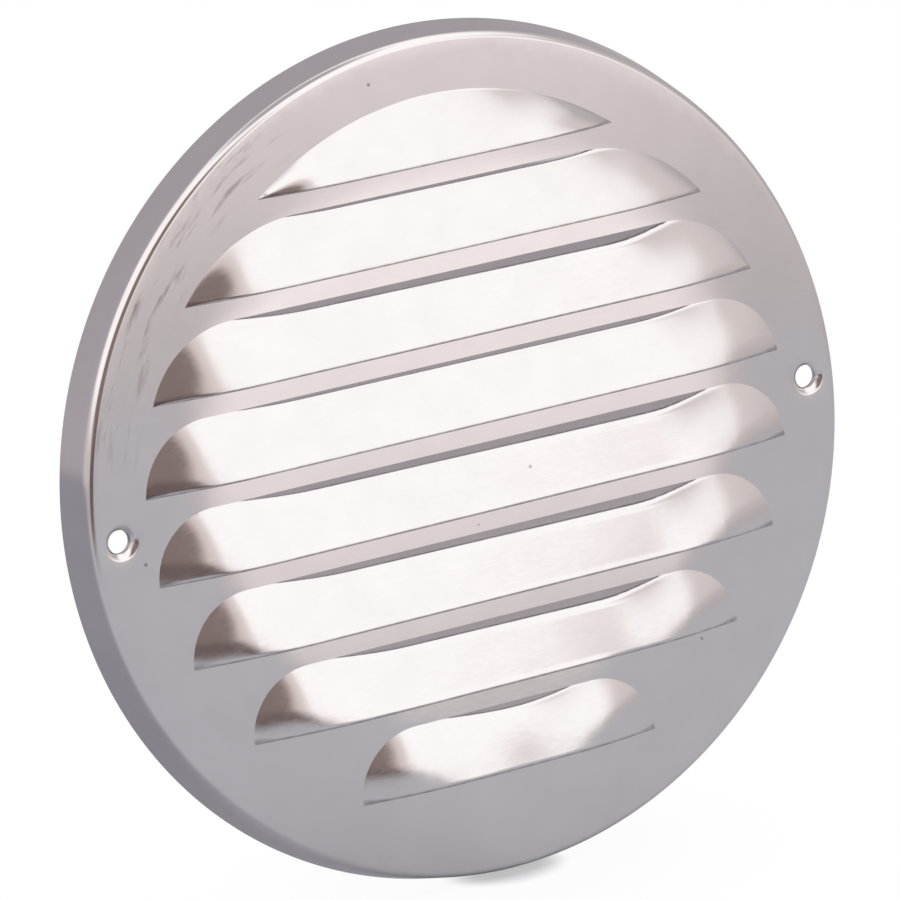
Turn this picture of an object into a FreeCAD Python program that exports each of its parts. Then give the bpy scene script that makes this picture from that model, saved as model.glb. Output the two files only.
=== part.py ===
import FreeCAD, Part
import math
import os

from FreeCAD import Placement, Rotation, Vector

# Round louvred vent cover, pressed from one aluminium sheet. Millimetres and degrees.
# The wall plane is y = 0, the face looks along -y, and the louvres open downwards.

# Sheet and rim
SHEET = 0.8
RIM_DIAMETER = 152.2           # outside, at the edge that meets the wall
RIM_DEPTH = 7.6                # wall plane to the front of the face
RIM_FLARE = 12.9               # the rim leans outwards towards the wall
RIM_BEND = 2.4                 # outside radius
FLANGE_WIDTH = 12.6            # outside of the rim to the tips of the slots

# Louvres
LOUVRE_COUNT = 8
LOWEST_SLOT_LENGTH = 59.2
CROWN_RISE = 1.2               # the top louvre's crown stands this far past the slots' tips
WEB_HEIGHT = 3.8               # flat sheet between one slot and the louvre below it
RAMP_ANGLE = 45.0              # the steep strip under the crease
RAMP_RUN = 2.2
CROWN_ANGLE = 10.0             # the gentle slope from the shoulder to the lip, which is cut square
SHOULDER_BEND = 2.2            # outside radius

# Screw holes
HOLE_INSET = 7.3               # outside of the rim to a hole's centre
HOLE_DIAMETER = 4.2
DIMPLE_DIAMETER = 5.8          # where the dimple's cone meets the face
DIMPLE_ANGLE = 90.0            # full angle of a countersunk screw's head

# Sizes and places that follow
RIM_RADIUS = RIM_DIAMETER / 2
TIP_RADIUS = RIM_RADIUS - FLANGE_WIDTH
LOWEST_SLOT_Z = -math.sqrt(TIP_RADIUS ** 2 - (LOWEST_SLOT_LENGTH / 2) ** 2)
LOUVRE_PITCH = (TIP_RADIUS + CROWN_RISE + WEB_HEIGHT - LOWEST_SLOT_Z) / LOUVRE_COUNT
LOUVRE_HEIGHT = LOUVRE_PITCH - WEB_HEIGHT
HOLE_X = RIM_RADIUS - HOLE_INSET
APRON = 0.75 * SHEET           # flat sheet that a pressed form carries round its crease
CUTTER_REACH = RIM_DIAMETER    # cutters run right off the cover

SHARP_FOLD = 0
QUARTER_TURN = 90
FULL_TURN = 360
RIGHT = Vector(1, 0, 0)
UP = Vector(0, 0, 1)
FORWARD = Vector(0, -1, 0)
FACE = FORWARD * RIM_DEPTH


def bend_points(before, corner, after, radius):
    """Start, middle and end of the arc that rounds a corner."""
    way_in = (corner - before).normalize()
    way_out = (after - corner).normalize()
    tangent = radius * math.tan(way_in.getAngle(way_out) / 2)
    to_centre = (way_out - way_in).normalize()
    middle = corner + to_centre * (math.hypot(radius, tangent) - radius)
    return [corner - way_in * tangent, middle, corner + way_out * tangent]


def skin(corners, radii, outside):
    """Edges of one skin of a bent sheet.

    A bend is an arc where this skin is on its outside, and two flats through the same points
    where it is on the inside.
    """
    edges = []
    start = corners[0]
    for before, corner, after, radius, is_outside in zip(corners, corners[1:], corners[2:], radii, outside):
        if radius <= SHARP_FOLD:
            edges.append(Part.makeLine(start, corner))
            start = corner
            continue
        bend = bend_points(before, corner, after, radius)
        edges.append(Part.makeLine(start, bend[0]))
        edges += [Part.Arc(*bend).toShape()] if is_outside else Part.makePolygon(bend).Edges
        start = bend[-1]
    return edges + [Part.makeLine(start, corners[-1])]


def bent_sheet(front, bends, placement):
    """Section face of a bent sheet.

    front holds the corners of the front skin as (along, forward) points, with the back skin
    to the right of their run, and bends the outside radius at each inner corner.
    """
    corners = [Vector(*point) for point in front]
    ways = [(end - start).normalize() for start, end in zip(corners, corners[1:])]
    rights = [Vector(way.y, -way.x) for way in ways]
    mitres = [(into + out).normalize() for into, out in zip(rights, rights[1:])]
    shifts = [mitre * (SHEET / mitre.dot(right)) for mitre, right in zip(mitres, rights)]
    shifts = [rights[0] * SHEET] + shifts + [rights[-1] * SHEET]
    back = [corner + shift for corner, shift in zip(corners, shifts)]
    front_outside = [way.dot(right) > 0 for way, right in zip(ways[1:], rights)]
    back_outside = [not outside for outside in front_outside]
    inner = [radius - SHEET for radius in bends]
    front_radii = [big if outside else small for big, small, outside in zip(bends, inner, front_outside)]
    back_radii = [big if outside else small for big, small, outside in zip(bends, inner, back_outside)]
    ends = [Part.makeLine(corners[0], back[0]), Part.makeLine(corners[-1], back[-1])]
    edges = skin(corners, front_radii, front_outside) + skin(back, back_radii, back_outside) + ends
    face = Part.Face(Part.Wire(Part.__sortEdges__(edges)))
    face.Placement = placement
    return face


def profile_plane(origin, along):
    """Placement that lays a profile's (along, forward) axes in space."""
    return Placement(origin, Rotation(along, FORWARD, along.cross(FORWARD), "XYZ"))


def pan():
    """Face and turned-back rim, cut off flat at the wall plane."""
    flare = math.tan(math.radians(RIM_FLARE))
    corners = [
        (0, 0),
        (RIM_RADIUS - RIM_DEPTH * flare, 0),
        (RIM_RADIUS + SHEET * flare, -RIM_DEPTH - SHEET),
    ]
    section = bent_sheet(corners, [RIM_BEND], profile_plane(FACE, RIGHT))
    past_the_wall = Part.makeCylinder(CUTTER_REACH, CUTTER_REACH, Vector(), -FORWARD)
    return section.revolve(Vector(), FORWARD, FULL_TURN).cut(past_the_wall)


def slot_heights():
    """Height of each slot, from the lowest to the top one."""
    return [LOWEST_SLOT_Z + row * LOUVRE_PITCH for row in range(LOUVRE_COUNT)]


def end_round(slot_z):
    """Radius of a louvre's round ends, and how far from the middle they are centred.

    Above the middle of the cover the ends follow the circle of the slots' tips, below it they
    are quarter rounds, and the top louvre is one arc from tip to tip.
    """
    half_slot = math.sqrt(TIP_RADIUS ** 2 - slot_z ** 2)
    following = LOUVRE_HEIGHT / (1 - max(slot_z, 0) / TIP_RADIUS)
    one_arc = (half_slot ** 2 + LOUVRE_HEIGHT ** 2) / (2 * LOUVRE_HEIGHT)
    radius = min(following, one_arc)
    reach = math.sqrt(radius ** 2 - (radius - LOUVRE_HEIGHT) ** 2)
    return radius, half_slot - reach


def swept(section, slot_z):
    """Section in the middle plane, run along a louvre and turned round its two ends."""
    radius, centre_x = end_round(slot_z)
    centre_z = slot_z + LOUVRE_HEIGHT - radius
    right_end = section.translated(RIGHT * centre_x).revolve(
        Vector(centre_x, 0, centre_z), -FORWARD, QUARTER_TURN)
    left_end = right_end.mirror(Vector(), RIGHT)
    if centre_x < FreeCAD.Base.Precision.confusion():
        return right_end.fuse(left_end)
    middle = section.translated(RIGHT * -centre_x).extrude(RIGHT * (2 * centre_x))
    return middle.fuse([right_end, left_end])


def below_slot(slot_z, lean):
    """Cutter for everything under a slot's line, leaning up towards the front."""
    corner = FACE + UP * (slot_z - CUTTER_REACH) - (RIGHT - FORWARD) * CUTTER_REACH
    block = Part.makeBox(2 * CUTTER_REACH, 2 * CUTTER_REACH, CUTTER_REACH, corner)
    return block.rotate(FACE + UP * slot_z, RIGHT, -lean)


def louvre(slot_z):
    """One louvre, from its cut lip to the flat sheet round its crease."""
    shoulder = LOUVRE_HEIGHT - RAMP_RUN
    ramp_rise = RAMP_RUN * math.tan(math.radians(RAMP_ANGLE))
    lean = math.radians(CROWN_ANGLE)
    lip = shoulder * math.sin(lean) + ramp_rise * math.cos(lean)
    corners = [
        (lip * math.sin(lean), lip * math.cos(lean)),
        (shoulder, ramp_rise),
        (LOUVRE_HEIGHT, 0),
        (LOUVRE_HEIGHT + APRON, 0),
    ]
    section = bent_sheet(corners, [SHOULDER_BEND, SHARP_FOLD], profile_plane(FACE + UP * slot_z, UP))
    return swept(section, slot_z).cut(below_slot(slot_z, CROWN_ANGLE))


def louvre_blank(slot_z):
    """The flat sheet that a louvre is pressed from."""
    section = bent_sheet([(0, 0), (LOUVRE_HEIGHT + APRON, 0)], [], profile_plane(FACE + UP * slot_z, UP))
    return swept(section, slot_z).cut(below_slot(slot_z, 0))


def dimple(x):
    """Sheet pressed back into a cone round one screw hole."""
    slope = 1 / math.tan(math.radians(DIMPLE_ANGLE / 2))
    start = HOLE_DIAMETER / 2 - SHEET
    rim = DIMPLE_DIAMETER / 2
    corners = [(start, (start - rim) * slope), (rim, 0), (rim + APRON, 0)]
    section = bent_sheet(corners, [SHARP_FOLD], profile_plane(FACE + RIGHT * x, RIGHT))
    return section.revolve(RIGHT * x, FORWARD, FULL_TURN)


def dimple_blank(x):
    """The flat sheet that a dimple is pressed from."""
    radius = DIMPLE_DIAMETER / 2 + APRON
    return Part.makeCylinder(radius, SHEET, FACE + RIGHT * x, -FORWARD)


def screw_hole(x):
    """Drill through one dimple."""
    return Part.makeCylinder(HOLE_DIAMETER / 2, CUTTER_REACH, FACE * 2 + RIGHT * x, -FORWARD)


def vent_cover():
    """The whole cover as one solid."""
    slots = slot_heights()
    holes = [-HOLE_X, HOLE_X]
    blanks = [louvre_blank(z) for z in slots] + [dimple_blank(x) for x in holes]
    pressed = [louvre(z) for z in slots] + [dimple(x) for x in holes]
    cover = pan().cut(blanks).fuse(pressed).cut([screw_hole(x) for x in holes])
    return cover.removeSplitter()


os.makedirs("parts", exist_ok=True)
vent_cover().exportStep("parts/vent_cover.step")
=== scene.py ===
import logging
import math
from dataclasses import dataclass, field
from enum import Enum, IntEnum
from functools import reduce
from typing import Optional, Sequence, Union

import bpy
import numpy as np
from mathutils import Matrix, Vector, noise
from mathutils.geometry import delaunay_2d_cdt


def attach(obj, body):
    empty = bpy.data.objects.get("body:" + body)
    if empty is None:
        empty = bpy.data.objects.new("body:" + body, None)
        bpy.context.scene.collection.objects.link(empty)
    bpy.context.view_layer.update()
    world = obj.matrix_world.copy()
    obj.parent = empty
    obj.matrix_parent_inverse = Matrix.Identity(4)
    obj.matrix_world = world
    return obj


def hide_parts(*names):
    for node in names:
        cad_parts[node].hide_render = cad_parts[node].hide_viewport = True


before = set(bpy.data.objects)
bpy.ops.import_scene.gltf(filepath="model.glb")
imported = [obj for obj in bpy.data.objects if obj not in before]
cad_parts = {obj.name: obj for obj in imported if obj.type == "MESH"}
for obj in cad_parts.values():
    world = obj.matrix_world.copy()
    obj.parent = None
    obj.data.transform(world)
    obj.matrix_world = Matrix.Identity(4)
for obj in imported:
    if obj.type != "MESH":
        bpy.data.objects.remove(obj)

LOG = logging.getLogger("round_vent_cover")
MM = 0.001
NODE = "vent_cover"
LIP_BURR_AND_SHADE = "lip_burr_and_shade"

NO_LENGTH = 1e-12  # nothing is divided by less
NO_WIDTH = 1e-3  # millimetres
MERGED = 1e-7  # points of the flat face that are closer become one
NOISE_SPAN = (0.3, 0.7)  # where most of a noise texture's values lie
GRAIN_DEPTH = 0.00002  # metres

Colour = tuple[float, float, float]
Point = tuple[float, float, float]
Span = tuple[float, float]
Socket = bpy.types.NodeSocket
Value = Union[Socket, float, Colour, Point]


class Skin(IntEnum):
    """Which surface of the sheet a face belongs to, and so its material."""

    FACE = 0
    BACK = 1
    CUT = 2


class Side(Enum):
    """The two sides of the cover that have a screw hole, as the sign of x."""

    LEFT = -1
    RIGHT = 1


def smooth(low: float, high: Union[float, np.ndarray], value: np.ndarray) -> np.ndarray:
    """Smooth step from 0 at low to 1 at high."""
    share = np.clip((np.asarray(value, float) - low) / (high - low), 0, 1)
    return share * share * (3 - 2 * share)


def heading(azimuth: float, elevation: float) -> Vector:
    """Direction out of the object, in degrees, with azimuth 0 straight in front and 90 right."""
    turn, rise = math.radians(azimuth), math.radians(elevation)
    level = math.cos(rise)
    return Vector((math.sin(turn) * level, -math.cos(turn) * level, math.sin(rise)))


def circle(count: int) -> list[Span]:
    """Cosine and sine of evenly spaced turns."""
    turns = np.linspace(0, 2 * math.pi, count, endpoint=False)
    return [(math.cos(turn), math.sin(turn)) for turn in turns]


def to_line(points: np.ndarray, line: np.ndarray) -> np.ndarray:
    """Distance of each point from a line of straight pieces.

    Args:
        points: Points in the plan.
        line: The line's corners.

    Returns:
        One distance for each point.
    """
    nearest = np.full(len(points), np.inf)
    for start, end in zip(line, line[1:]):
        along = end - start
        length = max(float(along @ along), NO_LENGTH)
        share = np.clip((points - start) @ along / length, 0, 1)
        gap = points - start - share[:, None] * along
        nearest = np.minimum(nearest, np.hypot(gap[:, 0], gap[:, 1]))
    return nearest


def inside_loop(points: np.ndarray, loop: np.ndarray) -> np.ndarray:
    """Which points lie inside a closed loop.

    Args:
        points: Points in the plan.
        loop: The loop's corners.

    Returns:
        One truth value for each point.
    """
    inside = np.zeros(len(points), bool)
    for (x1, z1), (x2, z2) in zip(loop, np.roll(loop, -1, axis=0)):
        crosses = (z1 > points[:, 1]) != (z2 > points[:, 1])
        if z1 != z2:
            inside ^= crosses & (points[:, 0] < (x2 - x1) * (points[:, 1] - z1) / (z2 - z1) + x1)
    return inside


@dataclass(frozen=True)
class CoverSizes:
    """Sizes of the pressed cover, in millimetres and degrees."""

    sheet: float = 0.8
    rim_diameter: float = 152.2
    rim_depth: float = 7.6
    rim_flare: float = 12.9
    rim_tight_bend: float = 1.1  # outside radius where the bend leaves the face
    rim_easy_bend: float = 2.4  # outside radius where it runs into the rim
    rim_bend_change: float = 45.0  # turn at which the one becomes the other
    rim_deburr: float = 0.04
    flange_width: float = 12.6
    louvre_count: int = 8
    lowest_slot_length: float = 59.2
    crown_rise: float = 1.2
    web_height: float = 3.8
    lip_lean: float = 3.0
    hole_inset: float = 7.3
    hole_diameter: float = 4.2
    dimple_diameter: float = 5.8

    @property
    def rim_radius(self) -> float:
        """Outside radius where the rim meets the wall."""
        return self.rim_diameter / 2

    @property
    def tip_radius(self) -> float:
        """Radius of the circle that the slots' tips lie on."""
        return self.rim_radius - self.flange_width

    @property
    def lowest_slot(self) -> float:
        """Height of the lowest slot."""
        return -math.sqrt(self.tip_radius ** 2 - (self.lowest_slot_length / 2) ** 2)

    @property
    def pitch(self) -> float:
        """Height from one slot to the next."""
        reach = self.tip_radius + self.crown_rise + self.web_height - self.lowest_slot
        return reach / self.louvre_count

    @property
    def louvre_height(self) -> float:
        """Slot to crease."""
        return self.pitch - self.web_height

    @property
    def flat_radius(self) -> float:
        """Where the flat face ends and the rim's bend starts."""
        flare = math.tan(math.radians(self.rim_flare))
        across, back = self.bend_point(90 - self.rim_flare)
        return self.rim_radius - (self.rim_depth - back) * flare - across

    @property
    def hole_x(self) -> float:
        """Distance of a screw hole from the middle."""
        return self.rim_radius - self.hole_inset

    def bend_point(self, angle: float) -> Span:
        """Place on the front of the rim's bend, which starts tight at the face and then eases.

        Args:
            angle: How far the sheet has turned there, in degrees.

        Returns:
            How far the place lies outside the flat face, and behind it.
        """
        tight = math.radians(min(angle, self.rim_bend_change))
        turned = max(math.radians(angle), tight)
        across = self.rim_tight_bend * math.sin(tight)
        across += self.rim_easy_bend * (math.sin(turned) - math.sin(tight))
        back = self.rim_tight_bend * (1 - math.cos(tight))
        back += self.rim_easy_bend * (math.cos(tight) - math.cos(turned))
        return across, back


class SheetMesh:
    """A pressed sheet as one front skin over the plan, which is then given its thickness."""

    def __init__(self, sizes: CoverSizes) -> None:
        """Starts an empty sheet.

        Args:
            sizes: The cover's sizes.
        """
        self.sizes = sizes
        self.front: list[Point] = []
        self.back: dict[int, Point] = {}
        self.lowest_back: dict[int, float] = {}
        self.lip: dict[int, float] = {}
        self.creases: list[tuple[int, int]] = []
        self.faces: list[tuple[int, ...]] = []

    def add(self, x: float, z: float, forward: float) -> int:
        """Adds a point of the front skin.

        Args:
            x: Place across the cover.
            z: Place up the cover.
            forward: Height in front of the face's plane.

        Returns:
            The point's number.
        """
        self.front.append((x, z, forward))
        return len(self.front) - 1

    def face(self, ring: Sequence[int]) -> None:
        """Adds a face, leaving out repeated points and faces with no area.

        Args:
            ring: The face's points.
        """
        kept = [point for n, point in enumerate(ring) if point != ring[n - 1]]
        if len(set(kept)) >= 3:
            self.faces.append(tuple(kept))

    def bridge(self, inner: Sequence[int], outer: Sequence[int]) -> None:
        """Joins two rings of points by faces.

        Args:
            inner: The smaller ring.
            outer: The larger ring, with as many points.
        """
        for n in range(len(inner)):
            m = (n + 1) % len(inner)
            self.face((inner[n], outer[n], outer[m], inner[m]))

    def positions(self) -> np.ndarray:
        """Front skin in space, in millimetres."""
        plan = np.array(self.front)
        return np.column_stack([plan[:, 0], -self.sizes.rim_depth - plan[:, 2], plan[:, 1]])

    def normals(self, points: np.ndarray) -> np.ndarray:
        """Normal at each point of the front skin, from the faces round it.

        Args:
            points: The front skin's points.

        Returns:
            One unit vector for each point.
        """
        total = np.zeros_like(points)
        for ring in self.faces:
            corners = points[list(ring)]
            spokes = corners[1:] - corners[0]
            total[list(ring)] += sum(np.cross(a, b) for a, b in zip(spokes, spokes[1:]))
        length = np.linalg.norm(total, axis=1, keepdims=True)
        return total / np.maximum(length, NO_LENGTH)

    def back_skin(self, front: np.ndarray) -> np.ndarray:
        """Back skin, a sheet's thickness behind the front one or at the places it was given.

        Args:
            front: The front skin's points.

        Returns:
            The back skin's points.
        """
        back = front - self.normals(front) * self.sizes.sheet
        for point, lowest in self.lowest_back.items():
            back[point, 2] = max(back[point, 2], lowest)
        for point, place in self.back.items():
            back[point] = place
        return back

    def open_edges(self) -> list[tuple[int, int]]:
        """Edges of the front skin that have a face on one side only.

        Returns:
            The two points of each edge.
        """
        edges: dict[tuple[int, int], None] = {}
        for ring in self.faces:
            edges.update(dict.fromkeys(zip(ring, ring[1:] + ring[:1])))
        return [edge for edge in edges if edge[::-1] not in edges]

    def thickened(self, name: str) -> bpy.types.Object:
        """Makes the closed sheet as an object.

        Args:
            name: The object's name.

        Returns:
            The new object, in metres.
        """
        front = self.positions()
        count = len(front)
        edges = self.open_edges()
        behind = [tuple(point + count for point in ring[::-1]) for ring in self.faces]
        cut = [(b, a, a + count, b + count) for a, b in edges]
        places = np.vstack([front, self.back_skin(front)]) * MM
        kinds = [Skin.FACE] * len(self.faces) + [Skin.BACK] * len(behind) + [Skin.CUT] * len(cut)
        folds = edges + self.creases
        sharp = {frozenset(edge) for edge in folds}
        sharp |= {frozenset((a + count, b + count)) for a, b in folds}
        mesh = bpy.data.meshes.new(name)
        mesh.from_pydata(places.tolist(), [], self.faces + behind + cut)
        mesh.polygons.foreach_set("material_index", [int(kind) for kind in kinds])
        mesh.polygons.foreach_set("use_smooth", [True] * len(kinds))
        is_sharp = [frozenset(edge.vertices) in sharp for edge in mesh.edges]
        mesh.edges.foreach_set("use_edge_sharp", is_sharp)
        # darkness along the lips, kept on the points: burr and painted shade under the lip
        lip_darkness = [self.lip.get(point % count, 0.0) for point in range(2 * count)]
        mesh.attributes.new(LIP_BURR_AND_SHADE, "FLOAT", "POINT").data.foreach_set("value", lip_darkness)
        mesh.validate()
        mesh.update()
        made = bpy.data.objects.new(name, mesh)
        bpy.context.scene.collection.objects.link(made)
        return made


@dataclass(frozen=True)
class DrawnFace:
    """How the flat sheet is pulled forward round the creases, with slight waves. Millimetres."""

    creases: tuple[np.ndarray, ...]
    pulls: tuple[float, ...]
    reach: float = 4.6
    held_flat: Span = (46.0, 61.0)  # the pull dies out between these radii
    wave: float = 0.05
    wave_length: float = 42.0

    def heights(self, points: np.ndarray, inside: Optional[int] = None) -> np.ndarray:
        """Heights over the face's plane.

        Args:
            points: Points in the plan.
            inside: The louvre that the points lie on, if any.

        Returns:
            A height for each point.
        """
        total = np.zeros(len(points))
        for number, (crease, pull) in enumerate(zip(self.creases, self.pulls)):
            gap = np.zeros(len(points)) if number == inside else to_line(points, crease)
            total += pull * np.clip(1 - gap / self.reach, 0, 1)
        free = 1 - smooth(*self.held_flat, np.hypot(points[:, 0], points[:, 1]))
        waves = [noise.noise(Vector((x, 0, z)) / self.wave_length) for x, z in points]
        return total * free + self.wave * np.array(waves)


@dataclass(frozen=True)
class Louvre:
    """One louvre, lanced along its slot and drawn forward below its crease. Millimetres."""

    sizes: CoverSizes
    slot: float  # height of its slot
    ramp_run: float  # width of the steep strip under its crease, at the right
    ramp_slope: float = 1.1
    rise: float = 3.28
    shoulder_blend: float = 1.6
    blend_share: float = 1.2  # most of the strip's width that the blend may take
    end_fall: float = 0.9  # how far the crown levels out at the ends
    end_length: float = 24.0
    end_stretch: float = -0.15  # change of the ends' length with their radius
    end_power: float = 2.6
    strip_lean: float = 0.3  # how much narrower the strip is halfway to the left
    left_taper: Span = (30.0, 6.0)  # from the tips, where the strip starts to run out and ends
    right_taper: Span = (28.0, 7.0)
    rollover: float = 0.45  # height of the lip's rounded edge
    rollover_drop: float = 0.28
    rollover_start: float = 1.2  # rise at which the edge is fully rounded
    burr_and_shade: float = 0.9  # dark band along the lip: burr and painted shade under the lip
    tip_widening: float = 1.0  # how much wider it is at the tips
    tip_reach: float = 5.0
    apron: tuple[float, ...] = (1.1, 0.6, 0.25)  # rows of flat sheet outside the crease
    rows: tuple[float, ...] = (  # rows below the crease
        0, 0.12, 0.25, 0.4, 0.55, 0.75, 1, 1.3, 1.6, 1.9, 2.2, 2.5, 2.8, 3.1, 3.5, 4, 4.8, 5.8, 7,
        8.2, 9.4, 10.3, 10.9)
    lip_rows: tuple[float, ...] = (0.45, 0.28, 0.14, 0.05, 0)  # rows above the slot
    column_step: float = 2.2
    end_columns: int = 26
    profile_steps: int = 600

    @property
    def height(self) -> float:
        """Slot to crease."""
        return self.sizes.louvre_height

    @property
    def half_slot(self) -> float:
        """Half of the slot's length."""
        return math.sqrt(self.sizes.tip_radius ** 2 - self.slot ** 2)

    @property
    def end_radius(self) -> float:
        """Radius of the round ends."""
        following = self.height / (1 - max(self.slot, 0) / self.sizes.tip_radius)
        one_arc = (self.half_slot ** 2 + self.height ** 2) / (2 * self.height)
        return min(following, one_arc)

    @property
    def centre_x(self) -> float:
        """How far from the middle the round ends are centred."""
        below = self.end_radius - self.height
        return self.half_slot - math.sqrt(self.end_radius ** 2 - below ** 2)

    def stations(self) -> np.ndarray:
        """Places along the crease from the left tip to the right one.

        Returns:
            For each its x, its height over the slot, and the outward direction in the plan.
        """
        radius, centre = self.end_radius, self.centre_x
        below = radius - self.height
        angles = np.linspace(math.asin(below / radius), math.pi / 2, self.end_columns)
        out = np.column_stack([np.cos(angles), np.sin(angles)])
        right = np.column_stack([centre + radius * out[:, 0], radius * out[:, 1] - below, out])
        left = right * (-1, 1, -1, 1)
        if centre < NO_WIDTH:
            return np.vstack([left, right[-2::-1]])
        count = math.ceil(2 * centre / self.column_step)
        spread = np.linspace(-centre, centre, count + 1)[1:-1]
        middle = np.array([(x, self.height, 0, 1) for x in spread]).reshape(-1, 4)
        return np.vstack([left, middle, right[::-1]])

    def outline(self) -> np.ndarray:
        """Points of the crease in the plan, from tip to tip."""
        return self.stations()[:, :2] + (0, self.slot)

    def shares(self) -> np.ndarray:
        """Rows of points as shares of the way from the crease to the slot."""
        from_crease = np.array(self.rows) / self.height
        return np.concatenate([from_crease, 1 - np.array(self.lip_rows) / self.height])

    def plan(self) -> np.ndarray:
        """Places of the louvre's points and of the flat sheet's rows round its crease.

        Returns:
            The x and the height over the slot of each station and row.
        """
        edges, tops, out_x, out_z = self.stations().T
        shares = self.shares()
        x = [edges + out_x * gap for gap in self.apron] + [edges] * len(shares)
        above = [tops + out_z * gap for gap in self.apron] + [tops * (1 - share) for share in shares]
        return np.stack([np.column_stack(x), np.column_stack(above)], axis=-1)

    def profile(self, width: float, taper: float) -> np.ndarray:
        """Rise of the front skin from the crease to the slot, with its steep strip at the crease.

        Args:
            width: How far the strip runs down from the crease.
            taper: 0 in the straight middle, and 1 where the strip has run out at the ends.

        Returns:
            The share of the full rise at each row.
        """
        inward = np.linspace(0, self.height, self.profile_steps)
        half = min(self.shoulder_blend, self.blend_share * self.ramp_run) / 2
        run = width - (width + half) * taper
        over = smooth(run - half, run + half, inward)
        level = 1 - self.end_fall * taper * inward / self.height
        slopes = np.stack([(1 - over) * self.ramp_slope, over * level])
        slopes[:, 0] = 0
        ramp, crown = np.cumsum(slopes, axis=1) * inward[1]
        rise = (ramp + crown * (self.rise - ramp[-1]) / crown[-1]) / self.rise
        return np.interp(self.shares() * self.height, inward, rise)

    def pressed(self) -> np.ndarray:
        """Height of the front skin over the crease.

        Returns:
            One height for each station and row from the crease down.
        """
        across = self.stations()[:, 0] / self.half_slot
        from_tip = self.half_slot * (1 - np.abs(across))
        end_length = self.end_length + self.end_stretch * (self.end_radius - self.height)
        lip = 1 - np.clip(1 - from_tip / end_length, 0, 1) ** self.end_power
        left, right = (smooth(*taper, from_tip) for taper in (self.left_taper, self.right_taper))
        tapers = np.where(across < 0, left, right)
        widths = self.ramp_run * (1 - self.strip_lean * (1 - across))
        profiles = [self.profile(width, taper) for width, taper in zip(widths, tapers)]
        return self.rise * lip[:, None] * np.array(profiles)

    def surface(self, drawn: DrawnFace, number: int) -> np.ndarray:
        """Front skin of the louvre and of the flat sheet's rows round its crease.

        Args:
            drawn: The shape of the flat face.
            number: The louvre's place from the bottom.

        Returns:
            The x, z and forward height of each station and row.
        """
        crease = len(self.apron)
        x, above = np.moveaxis(self.plan(), -1, 0)
        places = np.stack([x, above + self.slot], axis=-1)
        outside, below = places[:, :crease].reshape(-1, 2), places[:, crease:].reshape(-1, 2)
        heights = (drawn.heights(outside), drawn.heights(below, number))
        base = np.column_stack([rows.reshape(len(x), -1) for rows in heights])
        pressed = np.zeros_like(x)
        pressed[:, crease:] = self.pressed()
        roll = np.clip(1 - above / self.rollover, 0, 1)
        rounded = np.minimum(1, pressed / self.rollover_start)
        drop = self.rollover_drop * (1 - np.sqrt(1 - roll ** 2)) * rounded
        lean = math.tan(math.radians(self.sizes.lip_lean)) * np.clip(1 - above / self.height, 0, 1)
        return np.stack([x, places[..., 1] + lean * pressed, base + pressed - drop], axis=-1)

    def lip_darkening(self) -> np.ndarray:
        """How dark the band along the lip makes each point, as burr and painted shade under the lip,
        wider at the tips.

        Returns:
            A share for each station and row.
        """
        from_tip = self.half_slot - np.abs(self.stations()[:, 0])
        reach = self.burr_and_shade + self.tip_widening * (1 - smooth(0, self.tip_reach, from_tip))
        return 1 - smooth(0, reach[:, None], self.plan()[..., 1])


@dataclass(frozen=True)
class Dimple:
    """Sheet pressed back into a cone round a screw hole. Millimetres."""

    sizes: CoverSizes
    x: float
    segments: int = 56
    roll: float = 0.45  # half the width of the rounding at the face
    roll_rows: int = 5
    cone_rows: int = 2

    def rings(self) -> list[Span]:
        """Rings of the front skin from the face to the hole.

        Returns:
            For each ring its radius and its height over the face.
        """
        edge, hole = self.sizes.dimple_diameter / 2, self.sizes.hole_diameter / 2
        spread = np.linspace(edge + self.roll, edge - self.roll, self.roll_rows)
        rolled = [(r, -((edge + self.roll - r) ** 2) / (4 * self.roll)) for r in spread]
        cone = [(r, r - edge) for r in np.linspace(edge - self.roll, hole, self.cone_rows + 1)[1:]]
        return rolled + cone


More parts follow.
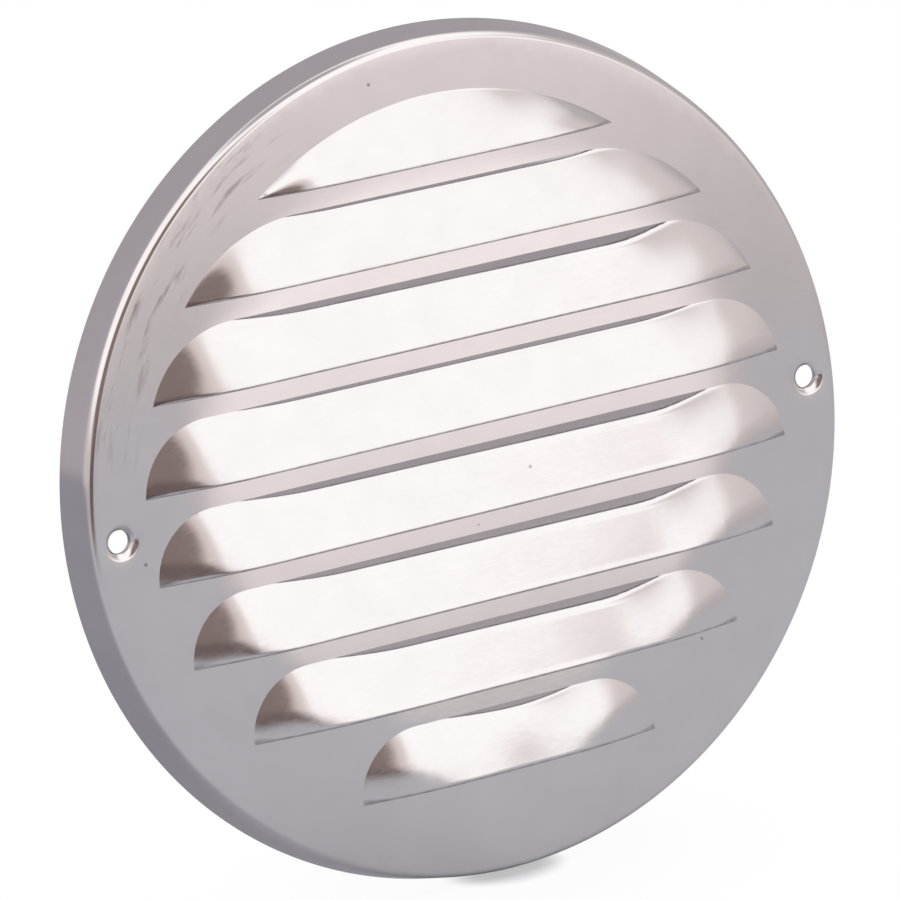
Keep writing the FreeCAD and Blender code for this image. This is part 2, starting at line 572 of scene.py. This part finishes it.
@dataclass
class VentCover:
    """The whole cover, pressed from one sheet. Millimetres."""

    sizes: CoverSizes = field(default_factory=CoverSizes)
    ramp_runs: tuple[float, ...] = (1.65, 2.25, 2.25, 2.25, 1.1, 2.25, 0.8, 0.4)
    pulls: tuple[float, ...] = (0.50, 0.475, 0.435, 0.40, 0.38, 0.38, 0.30, 0.10)
    rim_segments: int = 288
    bend_rows: int = 13
    flange_rows: int = 6
    grid: float = 1.7  # spacing of the flat face's points
    web_step: float = 1.6  # spacing along the web's edge under a slot

    def louvres(self) -> list[Louvre]:
        """The louvres from the lowest to the top one."""
        lowest, pitch = self.sizes.lowest_slot, self.sizes.pitch
        slots = [lowest + row * pitch for row in range(self.sizes.louvre_count)]
        return [Louvre(self.sizes, slot, run) for slot, run in zip(slots, self.ramp_runs)]

    def build(self) -> bpy.types.Object:
        """Builds the closed sheet.

        Returns:
            The cover as an object in metres.
        """
        sheet = SheetMesh(self.sizes)
        louvres = self.louvres()
        dimples = [Dimple(self.sizes, side.value * self.sizes.hole_x) for side in Side]
        drawn = DrawnFace(tuple(louvre.outline() for louvre in louvres), self.pulls)
        loops = [self.press_louvre(sheet, drawn, louvre, n) for n, louvre in enumerate(louvres)]
        loops += [self.press_dimple(sheet, dimple) for dimple in dimples]
        bend = self.turn_rim(sheet)
        self.fill_face(sheet, drawn, loops, bend)
        return sheet.thickened("pressed_cover")

    def press_louvre(
            self, sheet: SheetMesh, drawn: DrawnFace, louvre: Louvre, number: int) -> list[int]:
        """Adds one louvre with the sheet round its crease and the web's edge under its slot.

        Args:
            sheet: The sheet to add to.
            drawn: The shape of the flat face.
            louvre: The louvre to add.
            number: Its place from the bottom.

        Returns:
            The loop of points that the flat face joins, clockwise.
        """
        surface, lip_darkening = louvre.surface(drawn, number), louvre.lip_darkening()
        crease, rows, last = len(louvre.apron), surface.shape[1], len(surface) - 1
        columns = []
        for n, (places, shares) in enumerate(zip(surface, lip_darkening)):
            kept = crease + 1 if n in (0, last) else rows
            column = [sheet.add(*place) for place in places[:kept]]
            # dark band along the lip: burr and painted shade under the lip
            for point, share in zip(column[crease + 1:], shares[crease + 1:]):
                sheet.lip[point] = float(share)
            sheet.lowest_back[column[-1]] = louvre.slot
            columns.append(column + [column[-1]] * (rows - kept))
        for left, right in zip(columns, columns[1:]):
            sheet.creases.append((left[crease], right[crease]))
            for m in range(rows - 1):
                sheet.face((left[m], left[m + 1], right[m + 1], right[m]))
        web = self.cut_web(sheet, drawn, louvre)
        outer = [column[0] for column in columns]
        return outer + columns[-1][1:crease + 1] + web[::-1] + columns[0][crease:0:-1]

    def cut_web(self, sheet: SheetMesh, drawn: DrawnFace, louvre: Louvre) -> list[int]:
        """Adds the edge of the flat web under a slot.

        Args:
            sheet: The sheet to add to.
            drawn: The shape of the flat face.
            louvre: The louvre over the slot.

        Returns:
            The edge's points from left to right, without the slot's tips.
        """
        half = louvre.half_slot
        across = np.linspace(-half, half, math.ceil(2 * half / self.web_step))[1:-1]
        places = np.column_stack([across, np.full(len(across), louvre.slot)])
        return [sheet.add(x, z, height) for (x, z), height in zip(places, drawn.heights(places))]

    def press_dimple(self, sheet: SheetMesh, dimple: Dimple) -> list[int]:
        """Adds one dimple with its drilled hole.

        Args:
            sheet: The sheet to add to.
            dimple: The dimple.

        Returns:
            The ring of points that the flat face joins.
        """
        turns = circle(dimple.segments)
        rings = []
        for radius, height in dimple.rings():
            rings.append([sheet.add(dimple.x + radius * c, radius * s, height) for c, s in turns])
        for outer, inner in zip(rings, rings[1:]):
            sheet.bridge(inner, outer)
        hole, height = dimple.rings()[-1]
        behind = height - self.sizes.sheet * math.sqrt(2)
        for point, (c, s) in zip(rings[-1], turns):
            sheet.back[point] = (dimple.x + hole * c, -self.sizes.rim_depth - behind, hole * s)
        return rings[0]

    def rim_section(self) -> tuple[np.ndarray, np.ndarray]:
        """Section through the bend and the rim, from the flat face to the wall.

        Returns:
            Points of the front and of the back, each with its radius and height over the face.
        """
        sizes = self.sizes
        angles = np.linspace(0, 90 - sizes.rim_flare, self.bend_rows)
        outward = np.column_stack([np.sin(np.radians(angles)), np.cos(np.radians(angles))])
        bend = np.array([sizes.bend_point(angle) for angle in angles])
        front = bend * (1, -1) + (sizes.flat_radius, 0)
        flare = math.tan(math.radians(sizes.rim_flare))
        shares = np.linspace(0, 1, self.flange_rows + 1)[1:]
        skins = []
        for skin, deburr in ((front, sizes.rim_deburr), (front - sizes.sheet * outward, 0)):
            radius, height = skin[-1]
            drops = (sizes.rim_depth + height) * shares
            rim = np.column_stack([radius + drops * flare - deburr * shares, height - drops])
            skins.append(np.vstack([skin, rim]))
        return skins[0], skins[1]

    def turn_rim(self, sheet: SheetMesh) -> list[int]:
        """Adds the bend and the rim down to the wall.

        Args:
            sheet: The sheet to add to.

        Returns:
            The ring of points where the flat face ends.
        """
        turns = circle(self.rim_segments)
        rings = []
        for (radius, height), (inside, behind) in zip(*self.rim_section()):
            ring = [sheet.add(radius * c, radius * s, height) for c, s in turns]
            for point, (c, s) in zip(ring, turns):
                sheet.back[point] = (inside * c, -self.sizes.rim_depth - behind, inside * s)
            rings.append(ring)
        for near, far in zip(rings, rings[1:]):
            sheet.bridge(near, far)
        return rings[0]

    def grid_spots(self, rings: Sequence[np.ndarray]) -> np.ndarray:
        """Evenly spread places on the flat face, clear of the bend and the pressed forms.

        Args:
            rings: The loops round the pressed forms, in the plan.

        Returns:
            The places in the plan.
        """
        radius, gap = self.sizes.flat_radius, self.grid / 2
        across = np.arange(-radius, radius, self.grid)
        up = np.arange(-radius, radius, self.grid * math.sqrt(3) / 2)
        spots = np.array([(x + (n % 2) * gap, z) for n, z in enumerate(up) for x in across])
        spots = spots[np.hypot(spots[:, 0], spots[:, 1]) < radius - gap]
        for ring in rings:
            closed = np.vstack([ring, ring[:1]])
            spots = spots[~inside_loop(spots, ring) & (to_line(spots, closed) > gap)]
        return spots

    def fill_face(
            self, sheet: SheetMesh, drawn: DrawnFace, loops: Sequence[list[int]],
            bend: list[int]) -> None:
        """Fills the flat face between the rim, the louvres and the dimples.

        Args:
            sheet: The sheet to add to.
            drawn: The shape of the flat face.
            loops: The loops that bound the pressed forms.
            bend: The ring at the rim's bend.
        """
        plan = np.array(sheet.front)[:, :2]
        rings = [plan[loop] for loop in loops]
        spots = self.grid_spots(rings)
        added = [sheet.add(x, z, height) for (x, z), height in zip(spots, drawn.heights(spots))]
        bounds = [bend, *loops]
        numbers = [point for loop in bounds for point in loop] + added
        order = {point: n for n, point in enumerate(numbers)}
        edges = [(order[loop[n - 1]], order[loop[n]]) for loop in bounds for n in range(len(loop))]
        places = [Vector(sheet.front[point][:2]) for point in numbers]
        found, _, triangles, sources, _, _ = delaunay_2d_cdt(places, edges, [], 0, MERGED, True)
        middles = np.array([np.mean([found[p][:] for p in corners], axis=0) for corners in triangles])
        keep = inside_loop(middles, plan[bend])
        for ring in rings:
            keep &= ~inside_loop(middles, ring)
        for corners, kept in zip(triangles, keep):
            if kept:
                sheet.face([numbers[sources[p][0]] for p in corners])


class Graph:
    """Adds and links the nodes of one shader tree."""

    def __init__(self, tree: bpy.types.NodeTree) -> None:
        """Starts from an empty tree."""
        self.tree = tree
        tree.nodes.clear()

    def node(
            self, kind: str, inputs: Optional[dict[Union[str, int], Value]] = None,
            **settings: object) -> bpy.types.Node:
        """Adds a node.

        Args:
            kind: The node's type.
            inputs: Sockets by name or number, each with a value or a socket to link from.
            settings: The node's own settings.

        Returns:
            The new node.
        """
        made = self.tree.nodes.new(kind)
        for name, setting in settings.items():
            setattr(made, name, setting)
        for name, value in (inputs or {}).items():
            self.feed(made.inputs[name], value)
        return made

    def feed(self, socket: Socket, value: Value) -> None:
        """Links a socket, or sets its value.

        Args:
            socket: The socket to feed.
            value: A socket to link from, a number, a colour or a direction.
        """
        if isinstance(value, bpy.types.NodeSocket):
            self.tree.links.new(value, socket)
        elif isinstance(value, tuple) and socket.type == "RGBA":
            socket.default_value = (*value, 1.0)
        else:
            socket.default_value = value

    def place(self) -> Socket:
        """Place on the object."""
        return self.node("ShaderNodeTexCoord").outputs["Object"]

    def calc(self, operation: str, *values: Value, clamp: bool = False) -> Socket:
        """Adds a Math node and gives its result."""
        inputs = dict(enumerate(values))
        return self.node("ShaderNodeMath", inputs, operation=operation, use_clamp=clamp).outputs[0]

    def product(self, first: Value, *others: Value) -> Value:
        """Multiplies values."""
        return reduce(lambda result, value: self.calc("MULTIPLY", result, value), others, first)

    def ramp(
            self, value: Value, low: float, high: float, to_low: float = 0.0,
            to_high: float = 1.0) -> Socket:
        """Adds a smooth Map Range node and gives its result."""
        inputs = {"Value": value, "From Min": low, "From Max": high, "To Min": to_low, "To Max": to_high}
        return self.node("ShaderNodeMapRange", inputs, interpolation_type="SMOOTHSTEP").outputs[0]

    def band(self, value: Value, rise: Span, fall: Span) -> Value:
        """Gives 1 between a smooth rise and a smooth fall, and 0 outside them."""
        return self.product(self.ramp(value, *rise), self.ramp(value, *fall[::-1]))

    def blotches(self, place: Socket, scale: float, detail: float, roughness: float = 0.5) -> Socket:
        """Adds a Noise Texture node and gives its value."""
        inputs = {"Vector": place, "Scale": scale, "Detail": detail, "Roughness": roughness}
        return self.node("ShaderNodeTexNoise", inputs).outputs[0]

    def mix(self, share: Value, first: Value, second: Value) -> Socket:
        """Mixes two colours.

        Args:
            share: How much of the second colour there is.
            first: The first colour.
            second: The second colour.

        Returns:
            The mixed colour.
        """
        made = self.node("ShaderNodeMix", data_type="RGBA")
        sockets = (made.inputs[0], made.inputs[6], made.inputs[7])
        for socket, value in zip(sockets, (share, first, second)):
            self.feed(socket, value)
        return made.outputs[2]


@dataclass(frozen=True)
class RolledGrain:
    """Node group: the fine grain and cloudy sheen that rolling leaves on the sheet."""

    name: str = "rolled_grain"
    streak: float = 6.0
    detail: float = 5.0
    grain_scale: float = 420.0
    grain_roughness: float = 0.6
    cloud_scale: float = 120.0
    cloud_roughness: float = 0.62
    peel_scale: float = 900.0
    peel_detail: float = 2.0
    grain_share: float = 0.6  # of the height, with the fine peel for the rest

    def group(self) -> bpy.types.NodeTree:
        """The group, built on its first use.

        Returns:
            The node group, with a Streak input and Grain, Cloud and Height outputs.
        """
        if self.name in bpy.data.node_groups:
            return bpy.data.node_groups[self.name]
        tree = bpy.data.node_groups.new(self.name, "ShaderNodeTree")
        streak = tree.interface.new_socket("Streak", in_out="INPUT", socket_type="NodeSocketFloat")
        streak.default_value = self.streak
        for output in ("Grain", "Cloud", "Height"):
            tree.interface.new_socket(output, in_out="OUTPUT", socket_type="NodeSocketFloat")
        graph = Graph(tree)
        given = graph.node("NodeGroupInput").outputs["Streak"]
        place = graph.place()
        squeeze = graph.node("ShaderNodeCombineXYZ", {"X": 1.0, "Y": given, "Z": given})
        inputs = {0: place, 1: squeeze.outputs[0]}
        drawn = graph.node("ShaderNodeVectorMath", inputs, operation="MULTIPLY").outputs[0]
        grain = graph.blotches(drawn, self.grain_scale, self.detail, self.grain_roughness)
        cloud = graph.blotches(place, self.cloud_scale, self.detail, self.cloud_roughness)
        peel = graph.blotches(place, self.peel_scale, self.peel_detail)
        peeled = graph.product(peel, 1 - self.grain_share)
        height = graph.calc("ADD", graph.product(grain, self.grain_share), peeled)
        graph.node("NodeGroupOutput", {"Grain": grain, "Cloud": cloud, "Height": height})
        return tree


@dataclass(frozen=True)
class HandlingMarksAndLipShade:
    """Marks that pressing and handling leave on the face, with painted shade in the dark band along the
    louvres' lips.

    Radii are in metres, and turns in radians from the left to the top.
    """

    draw_stretch: Span = (620.0, 5.5)  # the marks' scale across and along the flange
    draw_detail: float = 3.0
    draw_roughness: float = 0.6
    draw_span: Span = (0.53, 0.70)
    draw_radius: tuple[Span, Span] = ((0.0635, 0.0690), (0.0728, 0.0738))
    draw_turn: tuple[Span, Span] = ((0.05, 0.45), (0.85, 1.25))
    draw_strength: float = 0.8
    draw_dulling: float = 0.15
    draw_colour: Colour = (0.39, 0.33, 0.31)
    lip_span: Span = (0.25, 0.9)
    lip_scale: float = 520.0
    lip_detail: float = 2.0
    lip_blotches: Span = (0.3, 0.65)
    lip_least: float = 0.55
    lip_strength: float = 0.6
    lip_colour: Colour = (0.25, 0.22, 0.22)
    speck_scale: float = 95.0
    speck_edge: Span = (0.045, 0.015)
    speck_choice: float = 0.82  # cells of the pattern over this have a speck
    speck_strength: float = 0.7
    speck_colour: Colour = (0.20, 0.17, 0.16)

    def applied(self, graph: Graph, colour: Socket, rough: Socket) -> tuple[Socket, Socket]:
        """Adds draw marks beside the rim, dark lips of burr and painted shade, and specks.

        Args:
            graph: The material's nodes.
            colour: The clean sheet's colour.
            rough: The clean sheet's roughness.

        Returns:
            The marked colour and roughness.
        """
        drawn, lips, specks = self.draw_marks(graph), self.dark_lips(graph), self.specks(graph)
        colour = graph.mix(graph.product(drawn, self.draw_strength), colour, self.draw_colour)
        # dark band along the lips: burr and painted shade under the lip
        colour = graph.mix(graph.product(lips, self.lip_strength), colour, self.lip_colour)
        colour = graph.mix(graph.product(specks, self.speck_strength), colour, self.speck_colour)
        return colour, graph.calc("ADD", rough, graph.product(drawn, self.draw_dulling))

    def draw_marks(self, graph: Graph) -> Socket:
        """Marks that follow the rim on the flange's upper left.

        Args:
            graph: The material's nodes.

        Returns:
            A mask.
        """
        x, _, z = graph.node("ShaderNodeSeparateXYZ", {0: graph.place()}).outputs
        flat = graph.node("ShaderNodeCombineXYZ", {"X": x, "Z": z}).outputs[0]
        radius = graph.node("ShaderNodeVectorMath", {0: flat}, operation="LENGTH").outputs["Value"]
        turn = graph.calc("ARCTAN2", z, graph.product(x, -1.0))
        across, along = self.draw_stretch
        inputs = {"X": graph.product(radius, across), "Y": graph.product(turn, along)}
        stretched = graph.node("ShaderNodeCombineXYZ", inputs).outputs[0]
        marks = graph.blotches(stretched, 1.0, self.draw_detail, self.draw_roughness)
        where = graph.product(graph.band(radius, *self.draw_radius), graph.band(turn, *self.draw_turn))
        return graph.product(where, graph.ramp(marks, *self.draw_span))

    def dark_lips(self, graph: Graph) -> Socket:
        """Burr and painted shade along the louvres' lips.

        Args:
            graph: The material's nodes.

        Returns:
            A mask.
        """
        lip = graph.node("ShaderNodeAttribute", attribute_name=LIP_BURR_AND_SHADE).outputs["Fac"]
        uneven = graph.blotches(graph.place(), self.lip_scale, self.lip_detail)
        uneven = graph.ramp(uneven, *self.lip_blotches, self.lip_least, 1.0)
        return graph.product(graph.ramp(lip, *self.lip_span), uneven)

    def specks(self, graph: Graph) -> Socket:
        """A few dark specks.

        Args:
            graph: The material's nodes.

        Returns:
            A mask.
        """
        inputs = {"Vector": graph.place(), "Scale": self.speck_scale}
        cells = graph.node("ShaderNodeTexVoronoi", inputs)
        choice = graph.node("ShaderNodeSeparateXYZ", {0: cells.outputs["Color"]}).outputs[0]
        chosen = graph.calc("GREATER_THAN", choice, self.speck_choice)
        return graph.product(graph.ramp(cells.outputs["Distance"], *self.speck_edge), chosen)


@dataclass(frozen=True)
class SheetFinish:
    """One surface of the aluminium sheet."""

    name: str
    light: Colour
    dark: Colour
    roughness: float
    spread: float
    streak: float
    bump: float
    marks: Optional[HandlingMarksAndLipShade] = None

    def material(self) -> bpy.types.Material:
        """Makes the finish's material.

        Returns:
            The material.
        """
        made = bpy.data.materials.new(self.name)
        made.use_nodes = True
        graph = Graph(made.node_tree)
        inputs = {"Streak": self.streak}
        grain = graph.node("ShaderNodeGroup", inputs, node_tree=RolledGrain().group())
        colour = graph.mix(graph.ramp(grain.outputs["Cloud"], *NOISE_SPAN), self.dark, self.light)
        low, high = self.roughness - self.spread, self.roughness + self.spread
        rough = graph.ramp(grain.outputs["Grain"], *NOISE_SPAN, low, high)
        if self.marks:
            colour, rough = self.marks.applied(graph, colour, rough)
        inputs = {"Strength": self.bump, "Distance": GRAIN_DEPTH, "Height": grain.outputs["Height"]}
        bump = graph.node("ShaderNodeBump", inputs).outputs[0]
        inputs = {"Base Color": colour, "Metallic": 1.0, "Roughness": rough, "Normal": bump}
        shader = graph.node("ShaderNodeBsdfPrincipled", inputs)
        graph.node("ShaderNodeOutputMaterial", {"Surface": shader.outputs[0]})
        return made


@dataclass(frozen=True)
class FloorFinish:
    """Matt floor in soft greys, white to the camera except for a painted shadow that fades the white
    near the object, where the matt floor's own shading shows.

    Distances run from the cover's middle in metres, and turns from straight in front to the right
    in radians.
    """

    name: str = "pale_floor"
    near: Colour = (0.64, 0.67, 0.72)
    warm: Colour = (0.62, 0.595, 0.60)
    warm_from: Span = (0.30, 0.60)
    shaded: Colour = (0.40, 0.40, 0.45)
    shaded_x: Span = (0.03, -0.10)
    shaded_y: Span = (-0.12, 0.0)
    mat: Colour = (0.20, 0.155, 0.145)
    mat_from: Span = (0.28, 0.48)
    mat_turn: tuple[Span, Span] = ((-1.0, -0.75), (0.02, 0.20))
    white: Colour = (1.0, 1.0, 1.0)
    shadow: Span = (0.03, 0.10)
    shadow_least: float = 0.82
    contact: Span = (0.0764, 0.0772)
    contact_least: float = 0.5
    shine: Colour = (1.04, 0.95, 0.94)
    right_shine: Colour = (0.62, 0.56, 0.55)
    right_turn: Span = (0.50, 0.85)
    shine_turn: tuple[Span, Span] = ((0.0, 0.25), (1.5, 1.9))
    shine_near: Span = (0.36, 1.02)
    near_share: Span = (0.04, 0.67)
    shine_far: Span = (1.02, 1.80)
    far_share: Span = (0.0, 0.32)

    def material(self) -> bpy.types.Material:
        """Makes the floor's material.

        Returns:
            The material.
        """
        made = bpy.data.materials.new(self.name)
        made.use_nodes = True
        graph = Graph(made.node_tree)
        ray = graph.node("ShaderNodeLightPath").outputs
        place = graph.place()
        away = graph.node("ShaderNodeVectorMath", {0: place}, operation="LENGTH").outputs["Value"]
        x, y, _ = graph.node("ShaderNodeSeparateXYZ", {0: place}).outputs
        turn = graph.calc("ARCTAN2", x, graph.product(y, -1.0))
        # painted shadow: the white share falls off by distance near the cover, and more at its contact
        # point
        soft = graph.ramp(away, *self.shadow, self.shadow_least, 1.0)
        contact = graph.ramp(away, *self.contact, self.contact_least, 1.0)
        seen = graph.product(ray["Is Camera Ray"], soft, contact)
        glossy = graph.product(ray["Is Glossy Ray"], self.shining(graph, away, turn))
        share = graph.calc("ADD", seen, glossy)
        share = graph.calc("ADD", share, ray["Is Transmission Ray"], clamp=True)
        tint = graph.mix(graph.ramp(turn, *self.right_turn), self.shine, self.right_shine)
        tint = graph.mix(ray["Is Glossy Ray"], self.white, tint)
        shade = self.shade(graph, away, turn, (x, y))
        matt = graph.node("ShaderNodeBsdfDiffuse", {"Color": shade}).outputs[0]
        plain_white = graph.node("ShaderNodeEmission", {"Color": tint, "Strength": 1.0}).outputs[0]
        both = graph.node("ShaderNodeMixShader", {0: share, 1: matt, 2: plain_white})
        graph.node("ShaderNodeOutputMaterial", {"Surface": both.outputs[0]})
        return made

    def shining(self, graph: Graph, away: Socket, turn: Socket) -> Socket:
        """How far the cover's metal sees the white, to the front right of it.

        Args:
            graph: The material's nodes.
            away: The distance from the cover's middle.
            turn: The turn from straight in front.

        Returns:
            A mask.
        """
        near = graph.ramp(away, *self.shine_near, *self.near_share)
        far = graph.calc("ADD", near, graph.ramp(away, *self.shine_far, *self.far_share))
        return graph.product(graph.band(turn, *self.shine_turn), far)

    def shade(self, graph: Graph, away: Socket, turn: Socket, across: tuple[Socket, Socket]) -> Socket:
        """The matt floor's colour, with a shaded side and a dark mat.

        Args:
            graph: The material's nodes.
            away: The distance from the cover's middle.
            turn: The turn from straight in front.
            across: The x and y of the place.

        Returns:
            The colour.
        """
        shaded = graph.product(
            graph.ramp(across[0], *self.shaded_x), graph.ramp(across[1], *self.shaded_y))
        mat = graph.product(graph.band(turn, *self.mat_turn), graph.ramp(away, *self.mat_from))
        colour = graph.mix(graph.ramp(away, *self.warm_from), self.near, self.warm)
        return graph.mix(mat, graph.mix(shaded, colour, self.shaded), self.mat)


@dataclass(frozen=True)
class Panel:
    """A soft patch of the studio round the object, seen from it. Degrees."""

    azimuth: float
    elevation: float
    inner: float
    outer: float
    colour: Colour

    def share(self, graph: Graph, way: Socket) -> Socket:
        """How far the patch fills a direction.

        Args:
            graph: The world's nodes.
            way: The direction.

        Returns:
            A mask.
        """
        inputs = {0: way, 1: tuple(heading(self.azimuth, self.elevation))}
        facing = graph.node("ShaderNodeVectorMath", inputs, operation="DOT_PRODUCT").outputs["Value"]
        outer, inner = (math.cos(math.radians(angle)) for angle in (self.outer, self.inner))
        return graph.ramp(facing, outer, inner)


@dataclass(frozen=True)
class View:
    """Camera at the photograph's viewing angle. Lens and sensor in millimetres, the rest in metres."""

    right: Point = (0.86891338, -0.48071497, -0.11790953)
    up: Point = (0.2092392, 0.14086041, 0.9676659)
    back: Point = (-0.4485627, -0.86548914, 0.22297991)
    shift: Point = (-0.0040725, 0.0013575, 1.19595)  # along these, from the middle of the face
    lens: float = 274.9
    sensor: float = 36.0
    clip: Span = (0.01, 50.0)

    def build(self, face: Vector) -> None:
        """Sets up the camera.

        Args:
            face: The middle of the cover's face.
        """
        axes = [Vector(self.right), Vector(self.up), Vector(self.back)]
        place = sum((axis * shift for axis, shift in zip(axes, self.shift)), face)
        data = bpy.data.cameras.new("camera")
        data.lens = self.lens
        data.sensor_width = self.sensor
        data.clip_start, data.clip_end = self.clip
        made = bpy.data.objects.new("camera", data)
        made.matrix_world = Matrix.Translation(place) @ Matrix(axes).transposed().to_4x4()
        bpy.context.scene.collection.objects.link(made)
        bpy.context.scene.camera = made


@dataclass
class Studio:
    """Floor, soft surroundings and camera."""

    base: Colour = (0.62, 0.57, 0.58)
    panels: tuple[Panel, ...] = (
        Panel(180, 10, 45, 75, (0.40, 0.37, 0.40)),
        Panel(180, -5, 20, 38, (1.10, 1.08, 1.10)),
        Panel(95, 0, 15, 55, (0.48, 0.46, 0.45)),
        Panel(36, 10, 2, 40, (0.74, 0.67, 0.66)),
        Panel(15, 72, 32, 50, (1.15, 1.13, 1.125)),
        Panel(10, 42, 16, 36, (1.15, 1.135, 1.13)),
        Panel(14, 22, 8, 24, (1.15, 1.135, 1.13)),
        Panel(23, 4, 5, 25, (1.15, 1.135, 1.13)),
        Panel(0, 90, 8, 24, (0.44, 0.42, 0.43)),
        Panel(-78, 38, 20, 34, (1.12, 1.08, 1.08)),
        Panel(-25, 12, 34, 38, (0.78, 0.68, 0.66)),
        Panel(-25, 12, 26, 32, (0.245, 0.187, 0.177)),
    )
    floor_finish: FloorFinish = field(default_factory=FloorFinish)
    floor_size: float = 8.0  # metres
    floor_z: float = -0.0762  # metres
    view: View = field(default_factory=View)

    def build(self) -> None:
        """Builds the whole studio."""
        self.surroundings()
        self.floor()
        self.view.build(Vector((0, -CoverSizes().rim_depth * MM, 0)))
        bpy.context.scene.view_settings.view_transform = "Standard"

    def surroundings(self) -> None:
        """Fills the world with soft pale panels, the same for every ray."""
        world = bpy.data.worlds.new("soft_studio")
        world.use_nodes = True
        bpy.context.scene.world = world
        graph = Graph(world.node_tree)
        way = graph.node("ShaderNodeTexCoord").outputs["Generated"]
        colour: Value = self.base
        for panel in self.panels:
            colour = graph.mix(panel.share(graph, way), colour, panel.colour)
        shine = graph.node("ShaderNodeBackground", {"Color": colour, "Strength": 1.0})
        graph.node("ShaderNodeOutputWorld", {"Surface": shine.outputs[0]})

    def floor(self) -> bpy.types.Object:
        """Makes the pale floor under the object.

        Returns:
            The floor.
        """
        half = self.floor_size / 2
        plan = ((-half, -half), (half, -half), (half, half), (-half, half))
        mesh = bpy.data.meshes.new("floor")
        mesh.from_pydata([(x, y, self.floor_z) for x, y in plan], [], [(0, 1, 2, 3)])
        mesh.materials.append(self.floor_finish.material())
        made = bpy.data.objects.new("floor", mesh)
        bpy.context.scene.collection.objects.link(made)
        return made


FINISHES = {
    Skin.FACE: SheetFinish(
        "bright_face", light=(0.86, 0.84, 0.835), dark=(0.83, 0.81, 0.805), roughness=0.13,
        spread=0.03, streak=6.0, bump=0.12, marks=HandlingMarksAndLipShade()),
    Skin.BACK: SheetFinish(
        "mill_back", light=(0.84, 0.83, 0.83), dark=(0.78, 0.77, 0.78), roughness=0.34,
        spread=0.06, streak=10.0, bump=0.3),
    Skin.CUT: SheetFinish(
        "cut_edge", light=(0.70, 0.68, 0.68), dark=(0.50, 0.48, 0.48), roughness=0.45,
        spread=0.08, streak=1.0, bump=0.5),
}


def main() -> None:
    """Builds the cover and the studio, and reports each piece."""
    logging.basicConfig(level=logging.INFO)
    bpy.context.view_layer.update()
    cover = VentCover().build()
    for skin in Skin:
        cover.data.materials.append(FINISHES[skin].material())
    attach(cover, "root")
    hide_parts(NODE)
    LOG.info("%s: %d points, %d faces", cover.name, len(cover.data.vertices), len(cover.data.polygons))
    Studio().build()
    LOG.info("studio: floor, soft panels, camera")


if __name__ == "__main__":
    main()
